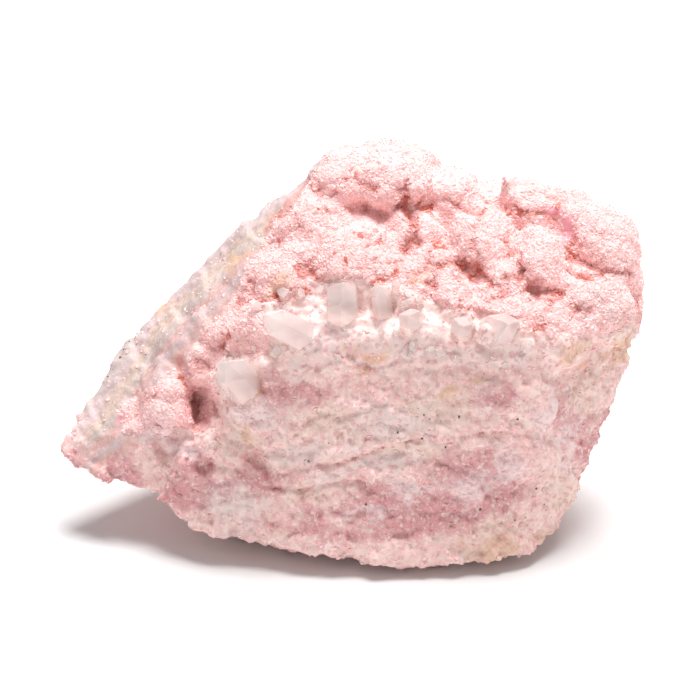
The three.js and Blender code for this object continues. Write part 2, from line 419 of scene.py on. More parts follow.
# The mottles of the broken faces, and how far each reaches past its patches.
MOTTLES = {"rose": 1.2, "cream": 1.15, "grey": 1.0, "lilac": 1.1}
GLOW = (1.0, 0.6, 0.55)  # how much further red goes in the stone than green and blue


def wall_layers(settings):
    tones = [[WALL_TONE * c for c in getattr(settings, name)] for name in WALL_LAYERS]
    return [(k / len(tones), tone) for k, tone in enumerate(tones)]


def rock_material(settings):
    """Vein rock: pale pink, mottled with rose, cream, grey, stain and rust, with painted shade in its
    crevices, as its attributes say.
    """
    rock = Shader("vein_rock")
    druse, crevice, rust = (rock.attribute(name) for name in ("druse", "crevice", "rust"))
    coarse = rock.noise(4.5 * MM, 3)
    middling = rock.noise(1.6 * MM, 4, shift=0.3)
    fine = rock.noise(0.5 * MM, 3, shift=0.7)
    flecks = rock.red_of(rock.cells(0.7 * MM, "Color"))
    broken = (middling - 0.5) * 1.6 + (fine - 0.5) * 1.8 + (flecks - 0.5) * 0.8
    base = rock.blend((coarse * 1.6 - 0.35 + broken).limited(), settings.pale, settings.pink)
    for name, reach in MOTTLES.items():
        amount = (rock.attribute(name) * reach + broken * 0.9 - 0.2).limited() * (1 - druse) * 0.85
        base = rock.blend(amount, base, getattr(settings, name))
    layer = rock.attribute("layer") + broken * 0.04
    stops = {"stops": wall_layers(settings)}
    layers = rock.node("ShaderNodeValToRGB", stops, {"Fac": layer}, "Color")
    base = rock.blend(rock.attribute("wall"), base, layers)
    flecked = (1 - druse) * (1 - 0.75 * rock.attribute("wall"))
    coats = [
        ((rock.attribute("quartz") * 0.65 + broken * 0.3).limited(), "milk"),
        (druse * 0.9, "crust"),
        ((rock.attribute("stain") * 1.1 + broken * 0.6 - 0.1).limited() * 0.75, "stain"),
        # Painted shade: the crevice field darkens the crevices, notches, pits and hollows towards the
        # painted shade colour.
        (crevice * 0.7, "shade"),
        ((rust * (0.8 + fine * 0.7)).limited() * 0.9, "rust"),
        (rock.attribute("vivid"), "vivid"),
        (rock.attribute("smooth") * (0.5 + 0.5 * fine), "cap"),
        (flecks.step(0.76, 0.86) * flecked * (0.3 + 0.45 * fine), "milk"),
        ((0.25 - flecks).step(0.0, 0.1) * flecked * 0.45, "rose"),
    ]
    for amount, name in coats:
        base = rock.blend(amount, base, getattr(settings, name))
    base = rock.shaded(base, 0.86 + 0.36 * fine)
    height = fine * 0.5 + rock.noise(0.25 * MM, 2) * 0.3 + rock.cells(0.8 * MM) * 0.4
    return rock.surface({
        "Base Color": base,
        "Roughness": 0.6 - 0.25 * rock.attribute("quartz"),
        "Normal": rock.bump(height, 0.16 * MM, 0.8),
        "Subsurface Weight": 0.2,
        "Subsurface Radius": GLOW,
        "Subsurface Scale": 0.6 * MM,
        "Specular IOR Level": 0.4,
    })


def grain_material(name, settings, rock, carried):
    """Small crystals, each of its own tone. They carry a share of the colours of the rock under them,
    the painted crevice shade among them.
    """
    grain = Shader(name)
    base = grain.blend(grain.attribute("tone").step(0.1, 0.9), settings.deep, settings.light)
    coats = [(field, carried, getattr(rock, field)) for field in ("rose", "cream", "grey", "lilac")]
    # Painted shade: grains in the crevices, notches and pits take on the painted shade colour; stain and
    # rust are the rock's own.
    coats += [("crevice", 0.6, rock.shade), ("stain", 0.4, rock.stain), ("rust", 0.85, rock.rust)]
    for field, strength, tone in coats:
        base = grain.blend(grain.attribute(field) * strength, base, tone)
    return grain.surface({"Base Color": base, "Roughness": 0.6, "Specular IOR Level": 0.3})


def quartz_material(name, settings, opacity, roughness):
    """Quartz with faint growth lines. Below full opacity, lamps shine through to the rock behind it."""
    quartz = Shader(name)
    lines = quartz.noise(1.2 * MM, 3, stretch=(1, 1, 2.5))
    return quartz.surface({
        "Base Color": settings.tint,
        "Roughness": roughness,
        "IOR": settings.refraction,
        "Transmission Weight": 0.4,
        "Alpha": opacity,
        "Normal": quartz.bump(lines, 0.08 * MM, 0.4),
    })


def sulphide_material():
    """Dark sulphide with a faint mottle."""
    sulphide = Shader("dark_sulphide")
    tone = srgb(0x55564C)
    dark = [c * 0.8 for c in tone]
    base = sulphide.blend(sulphide.noise(2 * MM, 3), tone, dark)
    return sulphide.surface({"Base Color": base, "Roughness": 0.35})


# ---- Fields over a surface ----


def smooth(low, high, value):
    share = np.clip((value - low) / (high - low), 0, 1)
    return share * share * (3 - 2 * share)


def read(items, name, width, kind=np.float32):
    found = np.empty(len(items) * width, kind)
    items.foreach_get(name, found)
    return found.reshape(-1, width) if width > 1 else found


def fractal(points, size, octaves=4, seed=0.0, stretch=(1, 1, 1)):
    """Fractal noise between about -1 and 1 at every point. The largest lumps are about that size."""
    shift = Vector((17.3 + 5.1 * seed, 3.7 - 2.9 * seed, 9.1 + 7.3 * seed))
    scaled = points / (size * np.array(stretch))
    return np.array([noise.fractal(Vector(p) + shift, 1.0, 2.1, octaves) for p in scaled])


def facets(points, size, seed=0.0):
    """Broken facets: each cell of about that size is a tilted plane. The heights are about -1 to 1."""
    shift = Vector((2.3 + seed, 11.9 - seed, 5.5 + 2 * seed))
    heights = np.empty(len(points))
    for k, p in enumerate(points / size):
        at = Vector(p) + shift
        middle = noise.voronoi(at)[1][0]
        tilt = noise.cell_vector(middle * 53.7)
        heights[k] = (at - middle).dot(tilt) * 1.5 + noise.cell(middle * 31.3) * 0.45
    return heights


def clumps(points, size, seed=0.0):
    """Rounded clumps of about that size: their heights, and 1 along the seams between them."""
    shift = Vector((7.7 - seed, 1.9 + seed, 13.1 + seed))
    gaps = np.array([noise.voronoi(Vector(p) + shift)[0][:2] for p in points / size])
    heights = np.clip(1 - gaps[:, 0] ** 2 * 1.6, -0.4, 1)
    return heights, 1 - smooth(0.03, 0.22, gaps[:, 1] - gaps[:, 0])


def on_card(points, stage):
    """Where points show on the card, in millimetres right of and above the aim."""
    rise = stage.height_angle
    offset = points - np.array(stage.aim)
    depth = offset[:, 1] * math.cos(rise) - offset[:, 2] * math.sin(rise)
    up = offset[:, 1] * math.sin(rise) + offset[:, 2] * math.cos(rise)
    shrink = stage.distance / (stage.distance + depth) / MM
    return np.stack([offset[:, 0] * shrink, up * shrink], axis=1)


def from_card(spot, stage):
    """The camera's place and the direction in which it sees a spot of the card."""
    rise = stage.height_angle
    up = Vector((0, math.sin(rise), math.cos(rise)))
    towards = Vector((0, math.cos(rise), -math.sin(rise)))
    eye = Vector(stage.aim) - towards * stage.distance
    seen = Vector(stage.aim) + Vector((spot[0] * MM, 0, 0)) + up * (spot[1] * MM)
    return eye, (seen - eye).normalized()


def to_line(spots, line):
    """Each spot's distance to a line of points, and which side it is on: positive is above or left."""
    nearest = np.full(len(spots), 1e9)
    side = np.ones(len(spots))
    for a, b in zip(np.array(line[:-1], float), np.array(line[1:], float)):
        along = b - a
        share = np.clip(((spots - a) @ along) / (along @ along), 0, 1)
        away = spots - a - share[:, None] * along
        gap = np.hypot(away[:, 0], away[:, 1])
        closer = gap < nearest
        turn = along[0] * away[:, 1] - along[1] * away[:, 0]
        nearest = np.where(closer, gap, nearest)
        side = np.where(closer, np.where(turn >= 0, 1.0, -1.0), side)
    return nearest, side


def inside(spots, outline):
    """Each spot's distance to an outline: positive inside, negative outside."""
    corners = np.array(outline, float)
    following = np.roll(corners, -1, axis=0)
    crossings = np.zeros(len(spots), int)
    for (ax, ay), (bx, by) in zip(corners, following):
        straddles = (ay > spots[:, 1]) != (by > spots[:, 1])
        if ay != by:
            reach = ax + (spots[:, 1] - ay) * (bx - ax) / (by - ay)
            crossings += straddles & (spots[:, 0] < reach)
    gap, _ = to_line(spots, [*outline, outline[0]])
    return np.where(crossings % 2 == 1, gap, -gap)


def patches(spots, shapes):
    """1 in the middle of each patch, falling off to 0 at about its rim."""
    found = np.zeros(len(spots))
    for x, y, breadth, height, lean in shapes:
        turn = math.radians(lean)
        away = spots - (x, y)
        along = away[:, 0] * math.cos(turn) + away[:, 1] * math.sin(turn)
        across = away[:, 1] * math.cos(turn) - away[:, 0] * math.sin(turn)
        found = np.maximum(found, 1 - smooth(0.35, 1.35, np.hypot(along / breadth, across / height)))
    return found


class Surface:
    """A mesh's points as an array, with what smoothing and carving them needs."""

    def __init__(self, mesh):
        self.mesh = mesh
        self.points = read(mesh.vertices, "co", 3).astype(float)
        self.edges = read(mesh.edges, "vertices", 2, np.int32)
        self.degree = np.bincount(self.edges.ravel(), minlength=len(self.points))

    def averaged(self, values):
        """Each point's mean over its neighbours."""
        total = np.zeros_like(values)
        for near, far in (self.edges.T, self.edges.T[::-1]):
            for axis in range(values.shape[1]):
                total[:, axis] += np.bincount(near, values[far, axis], len(values))
        return total / self.degree[:, None]

    def smoothed(self, values, passes):
        for _ in range(passes):
            values = 0.5 * values + 0.5 * self.averaged(values)
        return values

    def normals(self):
        self.mesh.vertices.foreach_set("co", self.points.astype(np.float32).ravel())
        self.mesh.update()
        return read(self.mesh.vertex_normals, "vector", 3).astype(float)

    def push(self, heights):
        self.points = self.points + self.normals() * heights[:, None]

    def relief(self, passes):
        """How far each point stands proud of its surroundings, in metres; hollows are negative."""
        local = self.smoothed(self.points, passes)
        return ((self.points - local) * self.normals()).sum(axis=1)


# ---- Meshes ----


def added(name, data):
    """A new object in the scene."""
    made = bpy.data.objects.new(name, data)
    bpy.context.scene.collection.objects.link(made)
    return made


def mesh_piece(name, points, faces, material):
    mesh = bpy.data.meshes.new(name)
    mesh.from_pydata(points, [], faces)
    mesh.materials.append(material)
    return added(name, mesh)


def keep(piece):
    """The piece belongs to the specimen, which is one body."""
    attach(piece, "root")


def remember(mesh, name, values):
    layer = mesh.attributes.new(name, "FLOAT", "POINT")
    layer.data.foreach_set("value", np.asarray(values, np.float32))


def recall(mesh, name):
    return read(mesh.attributes[name].data, "value", 1)


PAGE_FILL = 0.92  # the share of its page that each side of the box takes up
PAGE_REACH = 1.08  # how far past that side's edge its faces may reach


def add_boxed_map(mesh):
    """A map of six pages, one for each side of a box round the middle of a lumpy solid."""
    points = read(mesh.vertices, "co", 3)
    low, high = points.min(axis=0), points.max(axis=0)
    spread = (points - (low + high) / 2) / ((high - low) / 2)
    centres = np.array([tuple(p.center) for p in mesh.polygons])
    centres = (centres - (low + high) / 2) / ((high - low) / 2)
    axis = np.abs(centres).argmax(axis=1)
    positive = centres[np.arange(len(centres)), axis] > 0
    starts = read(mesh.polygons, "loop_start", 1, np.int32)
    totals = read(mesh.polygons, "loop_total", 1, np.int32)
    face = np.repeat(np.arange(len(starts)), totals)
    at = spread[read(mesh.loops, "vertex_index", 1, np.int32)]
    main = axis[face]
    depth = np.maximum(np.abs(at[np.arange(len(at)), main]), 0.2)
    first = at[np.arange(len(at)), (main + 1) % 3] / depth
    second = at[np.arange(len(at)), (main + 2) % 3] / depth
    page = main * 2 + positive[face]
    first, second = (np.clip(way, -PAGE_REACH, PAGE_REACH) for way in (first, second))
    u = (page % 3 + 0.5 + 0.5 * PAGE_FILL * first) / 3
    v = (page // 3 + 0.5 + 0.5 * PAGE_FILL * second) / 2
    layer = mesh.uv_layers.new(name=ATLAS)
    layer.uv.foreach_set("vector", np.stack([u, v], axis=1).astype(np.float32).ravel())


def add_celled_map(mesh, faces_each, number_of):
    """A map that gives each of many like grains a square of its own, since each has one tone."""
    side = math.ceil(math.sqrt(number_of))
    corners = np.array([(0.2, 0.2), (0.8, 0.2), (0.8, 0.8), (0.2, 0.8)])
    grain = np.repeat(np.arange(number_of), faces_each * 4)
    cell = np.stack([grain % side, grain // side], axis=1)
    places = (cell + np.tile(corners, (number_of * faces_each, 1))) / side
    layer = mesh.uv_layers.new(name=ATLAS)
    layer.uv.foreach_set("vector", places.astype(np.float32).ravel())


# ---- The rock ----


# The size of the lumps in each kind of relief, and in the noise that frays the borders of the zones.
BORDERS, FRAYS, TEARS = 6 * MM, 2.2 * MM, 2.6 * MM
BACK_PATCHES, RUST_SPECKS = 16 * MM, 1.4 * MM
SWELLS, MOUNDS, BROKEN_FACES = 22 * MM, 7 * MM, 9 * MM
CHIPS = (3.4 * MM, 1.7 * MM)
FIBRES, CRUMBS = 2.2 * MM, 1.5 * MM
CLUMPS = (5.2 * MM, 2.1 * MM)
# How high the relief is that has no setting of its own.
FIBRE_HEIGHT, CRUMB_HEIGHT, LAYER_HEIGHT, CAP_HEIGHT = 0.55 * MM, 0.34 * MM, 0.1 * MM, 0.5 * MM
# The share of a crevice's and of a crack's depth that is cut into the shape.
CREVICE_CUT, NOTCH_CUT = 0.6, 0.5
# How many rounds of smoothing give the level wall, the mounds' surroundings and the hollows'.
WALL_PASSES, MOUND_PASSES, HOLLOW_PASSES = 90, 70, 14
# Where the drawn zones end: this share of the depth from the front, and near the floor.
CREST_SHARE, CREST_FADE = 0.72, 3 * MM
FLOOR_FADE = (6 * MM, 9 * MM)
# How broad the layers of the left wall are, in millimetres on the card.
WALL_BREADTH = 11
# Steps along the cracks, in millimetres: the line, how far above it the rock is raised, and how much.
STEPS = [(CRACK, 3.5, 0.5), (LOWER_LEDGE, 3.0, 0.4), (LOBE_CRACK, 2.0, 0.35)]


def level(surface, settings, stage):
    """Levels the shallows and the left wall, and deepens the mounds."""
    for x, y, radius, passes in SHALLOWS:
        near = np.hypot(*(on_card(surface.points, stage) - (x, y)).T) / radius
        levelled = surface.smoothed(surface.points, passes)
        surface.points += (levelled - surface.points) * (1 - smooth(0.6, 1.3, near))[:, None]
    spots = on_card(surface.points, stage)
    wall = smooth(1.5, -1.5, inside(spots, DRUSE_OUTLINE))
    wall = wall * smooth(13, 9, to_line(spots, WALL_EDGE)[0])
    wall *= smooth(-44, -36, spots[:, 0])
    levelled = surface.smoothed(surface.points, WALL_PASSES)
    surface.points += (levelled - surface.points) * 0.85 * wall[:, None]
    surface.push(settings.contrast * surface.relief(MOUND_PASSES) * (1 - 0.8 * wall))


class Chart:
    """Where the zones lie on the levelled surface, with the noise that frays their borders."""

    def __init__(self, points, stage):
        self.points = points.copy()
        self.spots = on_card(points, stage)
        self.ragged = fractal(points, BORDERS, 4, seed=1)
        self.frayed = fractal(points, FRAYS, 3, seed=7)
        self.drift = np.stack([self.ragged, fractal(points, BORDERS, 3, seed=2)], axis=1)
        wavy = self.spots + 1.1 * self.drift
        crest = FRAME_BOX[0].y + CREST_SHARE * (FRAME_BOX[1].y - FRAME_BOX[0].y)
        depth, height = (points[:, axis] + self.ragged * 2 * MM for axis in (1, 2))
        shown = smooth(crest + CREST_FADE, crest - CREST_FADE, depth) * smooth(*FLOOR_FADE, height)
        self.shown = shown
        self.druse = smooth(-0.8, 0.8, inside(wavy, DRUSE_OUTLINE)) * shown
        self.quartz = smooth(-1.5, 1.5, inside(wavy, QUARTZ_OUTLINE)) * shown
        self.fibrous = smooth(-2, 2, inside(wavy, FIBROUS_OUTLINE)) * shown
        self.from_edge, _ = to_line(wavy, WALL_EDGE)
        wall = smooth(1.0, -1.0, inside(wavy, DRUSE_OUTLINE)) * smooth(12, 9, self.from_edge) * shown
        self.wall = wall * smooth(-53, -48, wavy[:, 0])
        self.plain = 1 - self.druse
        self.fields = self.patched(wavy)

    def patched(self, wavy):
        """The patches of colour. On the back, which has no patches drawn, noise takes their place."""
        loose = self.spots + 3.2 * self.drift + 1.0 * self.frayed[:, None]
        fields = {name: patches(loose, shapes) for name, shapes in PATCHES.items()}
        for name in ("stain", "rose", "cream", "grey", "lilac"):
            behind = smooth(0.1, 0.6, fractal(self.points, BACK_PATCHES, 4, seed=len(name)))
            fields[name] = fields[name] * self.shown + behind * (1 - self.shown)
        for name in ("vivid", "smooth"):
            fields[name] = patches(wavy, PATCHES[name]) * self.shown
        return fields


def add_relief(surface, settings, chart):
    """Swells and mounds, then facets on the broken faces and clumps on the crust. Returns the seams."""
    points, plain, druse, cap = chart.points, chart.plain, chart.druse, chart.fields["smooth"]
    surface.push(settings.swell * fractal(points, SWELLS, 3, seed=3) * (0.35 + 0.65 * plain))
    surface.push(settings.swell * fractal(points, MOUNDS, 3, seed=4) * druse)
    broken = facets(points, BROKEN_FACES, seed=1) * plain * (1 - 0.6 * chart.quartz)
    surface.push(0.6 * settings.swell * broken)
    chips = facets(points, CHIPS[0], seed=2) + 0.7 * facets(points, CHIPS[1], seed=3)
    surface.push(settings.chips * chips * plain * (1 - 0.5 * chart.fibrous) * (1 - 0.75 * chart.wall))
    fibres = fractal(points, FIBRES, 3, seed=5, stretch=(0.8, 0.8, 7))
    crumbs = fractal(points, CRUMBS, 3, seed=6)
    surface.push(FIBRE_HEIGHT * fibres * chart.fibrous + CRUMB_HEIGHT * crumbs * plain)
    surface.push(LAYER_HEIGHT * np.sin(chart.from_edge * 1.9 + 1.2 * chart.ragged) * chart.wall)
    warp = np.stack([chart.ragged, chart.drift[:, 1], chart.frayed], axis=1)
    large, large_seam = clumps(points + 0.9 * MM * warp, CLUMPS[0], seed=1)
    small, small_seam = clumps(points + 0.9 * MM * warp, CLUMPS[1], seed=2)
    lumpy = druse * (1 - 0.9 * cap)
    surface.push(settings.clumps * (large + 0.45 * small - 0.7 - 0.5 * large_seam) * lumpy)
    surface.push(CAP_HEIGHT * cap)
    return large_seam, small_seam


def add_cracks(surface, chart):
    """Steps, crevices and pits. Returns how dark each point is painted, as painted shade along the step
    notches and in the crevices and pits, and how deep in a crevice it is.
    """
    shown, frayed, drifted = chart.shown, chart.frayed, chart.spots + 0.6 * chart.drift
    dark = np.zeros(len(frayed))
    for line, reach, height in STEPS:
        gap, side = to_line(drifted + 0.5 * frayed[:, None], line)
        above = (side > 0) * (1 - smooth(0.4, reach, gap))
        notch = (1 - smooth(0.0, 0.8, gap)) * smooth(-0.5, 0.2, frayed)
        surface.push(MM * (height * above - NOTCH_CUT * notch) * shown)
        # Painted shade: a dark line along each step's notch.
        dark = np.maximum(dark, 0.8 * notch * shown)
    tear = np.stack([frayed, fractal(chart.points, TEARS, 3, seed=9)], axis=1)
    torn = chart.spots + 1.5 * tear * (1.0, 0.7)
    sharp = np.zeros(len(frayed))
    for line, half, depth in CREVICES:
        gap, _ = to_line(drifted + 0.45 * (torn - chart.spots), line)
        groove = (1 - smooth(0.2 * half, 1.7 * half, gap)) * shown
        surface.push(-CREVICE_CUT * depth * MM * groove)
        sharp = np.maximum(sharp, groove * min(1, depth))
    # Painted shade in the crevices.
    dark = np.maximum(dark, 0.75 * sharp)
    for x, y, radius, depth in PITS:
        gap = np.hypot(*(torn - (x, y)).T) / radius
        hollow = (1 - smooth(0.1, 1.5, gap + 0.3 * chart.ragged)) * shown
        surface.push(-depth * MM * hollow)
        # Painted shade in the pits.
        dark = np.maximum(dark, hollow * 0.9)
    return dark, sharp


def carve(surface, settings, stage):
    """Gives the smooth solid the specimen's relief, and returns the fields that its colours need."""
    level(surface, settings, stage)
    chart = Chart(surface.points, stage)
    large_seam, small_seam = add_relief(surface, settings, chart)
    dark, sharp = add_cracks(surface, chart)
    druse, fields = chart.druse, chart.fields
    hollowness = smooth(0.15 * MM, 0.9 * MM, -surface.relief(HOLLOW_PASSES))
    rusty = patches(chart.spots, [(x, y, r, r, 0) for x, y, r in RUST_SPOTS]) * chart.shown
    speckled = smooth(-0.1, 0.45, fractal(chart.points, RUST_SPECKS, 3, seed=8))
    layer = chart.from_edge / WALL_BREADTH
    fields.update(druse=druse, quartz=chart.quartz, wall=chart.wall, layer=layer)
    # Painted shade: the notches, crevices, pits and hollows are darkened by colour, kept in the crevice
    # field.
    painted_shade = dark * 0.8 + hollowness * (0.15 + 0.35 * druse)
    fields["crevice"] = np.clip(painted_shade, 0, 1) * (1 - fields["smooth"])
    seams = np.maximum(large_seam, 0.55 * small_seam * (0.3 + hollowness))
    gathered = druse * (0.3 + 1.2 * rusty + 0.8 * hollowness) * (0.8 * seams + 0.5 * rusty)
    gathered = gathered + 0.9 * dark * druse
    rust = np.maximum(gathered * speckled, sharp * (0.35 + 0.5 * speckled))
    fields["rust"] = np.clip(rust, 0, 1) * (1 - fields["smooth"])
    surface.points = surface.smoothed(surface.points, 1)
    return fields


def root_corners(mesh, depth):
    """The corners of a block that fills a crystal's seat, so that the crystal grows from solid rock."""
    corners = np.unique(read(mesh.vertices, "co", 3).round(6), axis=0)
    outwards = corners.mean(axis=0) - (np.array(FRAME_BOX[0]) + np.array(FRAME_BOX[1])) / 2
    order = np.argsort(corners @ outwards)
    ring, tip = corners[order[:6]], corners[order[-1]]
    foot = ring.mean(axis=0)
    axis = (tip - foot) / np.linalg.norm(tip - foot)
    wide = foot + (ring - foot) * 1.2
    return np.concatenate([wide - axis * MM, wide + axis * depth])


class SPECIMEN_OT_rock(bpy.types.Operator):
    """Carves the rock from the frame's solid"""

    bl_idname = "specimen.rock"
    bl_label = "Rock"

    def execute(self, context):
        settings, stage = context.scene.specimen_rock, context.scene.specimen_stage
        mesh = bpy.data.meshes.new("rhodochrosite_rock")
        solid = bmesh.new()
        solid.from_mesh(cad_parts[ROCK_NODE].data)
        for node in QUARTZ_NODES:
            corners = root_corners(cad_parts[node].data, context.scene.specimen_quartz.root)
            bmesh.ops.convex_hull(solid, input=[solid.verts.new(corner) for corner in corners])
        solid.to_mesh(mesh)
        solid.free()
        mesh.materials.append(rock_material(settings))
        rock = added("rhodochrosite_rock", mesh)
        remesh = rock.modifiers.new("remesh", "REMESH")
        remesh.mode = "VOXEL"
        remesh.voxel_size = settings.grain
        evaluated = rock.evaluated_get(context.evaluated_depsgraph_get())
        fine = bpy.data.meshes.new_from_object(evaluated)
        rock.modifiers.clear()
        rock.data = fine
        surface = Surface(fine)
        surface.points = surface.smoothed(surface.points, settings.softening)
        fields = carve(surface, settings, stage)
        surface.points[:, 2] = np.maximum(surface.points[:, 2], FRAME_BOX[0].z)
        surface.normals()
        for name, values in fields.items():
            remember(fine, name, values)
        fine.polygons.foreach_set("use_smooth", np.ones(len(fine.polygons), bool))
        add_boxed_map(fine)
        keep(rock)
        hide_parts(ROCK_NODE)
        return {"FINISHED"}


# ---- The grains ----

RHOMB_FACES = np.array(
    [(0, 2, 6, 4), (1, 5, 7, 3), (0, 4, 5, 1), (2, 3, 7, 6), (0, 1, 3, 2), (4, 6, 7, 5)]
)
RHOMB_STEEPNESS = (0.3, 0.4, 0.54)
CARRIED = ("rose", "cream", "grey", "lilac", "crevice", "stain", "rust")
# Each kind of grain: its smallest and largest size, how far it is sunk, how much it leans, and its seed.
GRAINS = {
    "druse_grains_large": (0.44 * MM, 0.74 * MM, 0.66, 0.12, 11),
    "druse_grains_small": (0.3 * MM, 0.52 * MM, 0.56, 0.22, 12),
    "rock_grains": (0.28 * MM, 0.6 * MM, 0.8, 0.8, 13),
}


def rhomb_corners(steepness):
    """The eight corners of a rhombohedron that stands on one corner; its edges are about 1 long."""
    edges = [
        Vector((math.cos(turn), math.sin(turn), steepness)).normalized()
        for turn in (0, 2 * math.pi / 3, 4 * math.pi / 3)
    ]
    corners = [
        edges[0] * (a - 0.5) + edges[1] * (b - 0.5) + edges[2] * (c - 0.5)
        for a in (0, 1)
        for b in (0, 1)
        for c in (0, 1)
    ]
    return np.array([tuple(corner) for corner in corners])


def spread_over(mesh, wish, number_of, spacing, random):
    """Picks well spaced places where the wish is high. Returns their points, normals and vertices."""
    mesh.calc_loop_triangles()
    corners = read(mesh.loop_triangles, "vertices", 3, np.int32)
    points = read(mesh.vertices, "co", 3).astype(float)
    a, b, c = (points[corners[:, k]] for k in range(3))
    across = np.cross(b - a, c - a)
    area = np.linalg.norm(across, axis=1) / 2
    weight = area * wish[corners].mean(axis=1)
    picks = random.choice(len(corners), size=number_of * 3, p=weight / weight.sum())
    first, second = random.random((2, len(picks)))
    flip = first + second > 1
    first[flip], second[flip] = 1 - first[flip], 1 - second[flip]
    places = a[picks] + first[:, None] * (b - a)[picks] + second[:, None] * (c - a)[picks]
    taken = {}
    kept = []
    for k, key in enumerate(map(tuple, np.floor(places / spacing).astype(int))):
        near = taken.setdefault(key, [])
        if all(((places[k] - places[other]) ** 2).sum() > spacing * spacing * 0.5 for other in near):
            near.append(k)
            kept.append(k)
            if len(kept) == number_of:
                break
    kept = np.array(kept)
    smooth_normals = read(mesh.vertex_normals, "vector", 3)
    vertices = corners[picks[kept], 0]
    return places[kept], smooth_normals[vertices], vertices


def turned(normals, lean, random):
    """Random rotations whose Z axis leans from each normal by about that share."""
    axis = normals + lean * random.normal(size=normals.shape)
    axis /= np.linalg.norm(axis, axis=1)[:, None]
    side = np.cross(axis, random.normal(size=axis.shape))
    side /= np.linalg.norm(side, axis=1)[:, None]
    return np.stack([side, np.cross(axis, side), axis], axis=2)


def grow_grains(name, rock, wish, number_of, material):
    """Many small rhombohedra in one mesh, each with its own tone and the rock's colours under it."""
    smallest, largest, sunk, lean, seed = GRAINS[name]
    random = np.random.default_rng(seed)
    places, normals, vertices = spread_over(rock.data, wish, number_of, smallest * 0.8, random)
    total = len(places)
    shapes = np.stack([rhomb_corners(steepness) for steepness in RHOMB_STEEPNESS])
    shape = shapes[random.integers(len(shapes), size=total)]
    shape = shape * random.uniform(0.7, 1.3, size=(total, 1, 3))
    size = smallest + (largest - smallest) * random.random(total) ** 1.8
    turns = turned(normals, lean, random)
    corners = np.einsum("nij,nkj->nki", turns, shape) * size[:, None, None]
    corners += (places + normals * (size * (0.5 - sunk))[:, None])[:, None, :]
    faces = (np.arange(total)[:, None, None] * 8 + RHOMB_FACES[None]).reshape(-1, 4)
    piece = mesh_piece(name, corners.reshape(-1, 3).tolist(), faces.tolist(), material)
    mesh = piece.data
    remember(mesh, "tone", np.repeat(random.random(total), 8))
    for field in CARRIED:
        remember(mesh, field, np.repeat(recall(rock.data, field)[vertices], 8))
    add_celled_map(mesh, 6, total)
    keep(piece)


class SPECIMEN_OT_druse(bpy.types.Operator):
    """Grows the sugary crust and the small grains of the broken faces"""

    bl_idname = "specimen.druse"
    bl_label = "Druse"

    def execute(self, context):
        settings, rock_colours = context.scene.specimen_druse, context.scene.specimen_rock
        rock = bpy.data.objects["rhodochrosite_rock"]
        druse = recall(rock.data, "druse")
        bare = 1 - np.maximum(recall(rock.data, "smooth") * 0.8, recall(rock.data, "vivid"))
        deep = recall(rock.data, "crevice")
        crust = druse * bare * (1 - 0.6 * deep)
        sugar = grain_material("sugary_rhodochrosite", settings, rock_colours, 0.25)
        stone = grain_material("broken_grains", settings, rock_colours, 0.7)
        grow_grains("druse_grains_large", rock, crust, settings.large, sugar)
        grow_grains("druse_grains_small", rock, crust, settings.small, sugar)
        wall, quartz = recall(rock.data, "wall"), recall(rock.data, "quartz")
        broken = (1 - druse) * (1 - 0.8 * wall) * (1 - 0.6 * quartz)
        off_floor = read(rock.data.vertices, "co", 3)[:, 2] > 1.2 * MM
        grow_grains("rock_grains", rock, broken * off_floor, settings.broken, stone)
        return {"FINISHED"}


def dark_grain_places(rock, stage):
    tree = BVHTree.FromObject(rock, bpy.context.evaluated_depsgraph_get())
    for spot in DARK_GRAINS:
        hit, normal, _, _ = tree.ray_cast(*from_card(spot, stage))
        if hit is not None:
            yield hit, normal


class SPECIMEN_OT_sulphide(bpy.types.Operator):
    """Sets the few dark grains of sulphide in the broken faces"""

    bl_idname = "specimen.sulphide"
    bl_label = "Sulphide grains"

    def execute(self, context):
        random = np.random.default_rng(21)
        rock = bpy.data.objects["rhodochrosite_rock"]
        points, faces = [], []
        for hit, normal in dark_grain_places(rock, context.scene.specimen_stage):
            size = random.uniform(0.16, 0.42) * MM
            turn = turned(np.array([normal]), 0.6, random)[0]
            corners = rhomb_corners(0.7) * random.uniform(0.6, 1.2, size=(1, 3)) @ turn.T * size
            faces += (RHOMB_FACES + len(points)).tolist()
            points += (corners + np.array(hit)).tolist()
        keep(mesh_piece("sulphide_grains", points, faces, sulphide_material()))
        return {"FINISHED"}


# ---- The quartz ----

POINT_SPACING = 2.6 * MM
POINT_WIDTHS = (0.9, 2.6)  # in millimetres
POINTS_FACE = np.array((0, -0.55, 0.5))  # the small crystals lean forwards and up


def crystal_points(width, height, flat, random):
    """A six-sided crystal on the origin: points, faces. Its point has long and short faces."""
    points, faces = [], []
    ring = []
    for k in range(6):
        turn = k * math.pi / 3
        radius = width / 2 * random.uniform(0.88, 1.08)
        shoulder = height - width * (0.62 if k % 2 else 0.34) * random.uniform(0.8, 1.15)
        side = (radius * math.cos(turn), radius * flat * math.sin(turn))
        points.append((*side, -width * 0.5))
        points.append((side[0] * 0.94, side[1] * 0.94, shoulder))
        ring.append(2 * k)
    points.append((width * random.uniform(-0.1, 0.1), width * random.uniform(-0.1, 0.1), height))
    for k in range(6):
        a, b = ring[k], ring[(k + 1) % 6]
        faces.append((a, b, b + 1, a + 1))
        faces.append((a + 1, b + 1, 12))
    faces.append(tuple(reversed(ring)))
    return np.array(points), faces


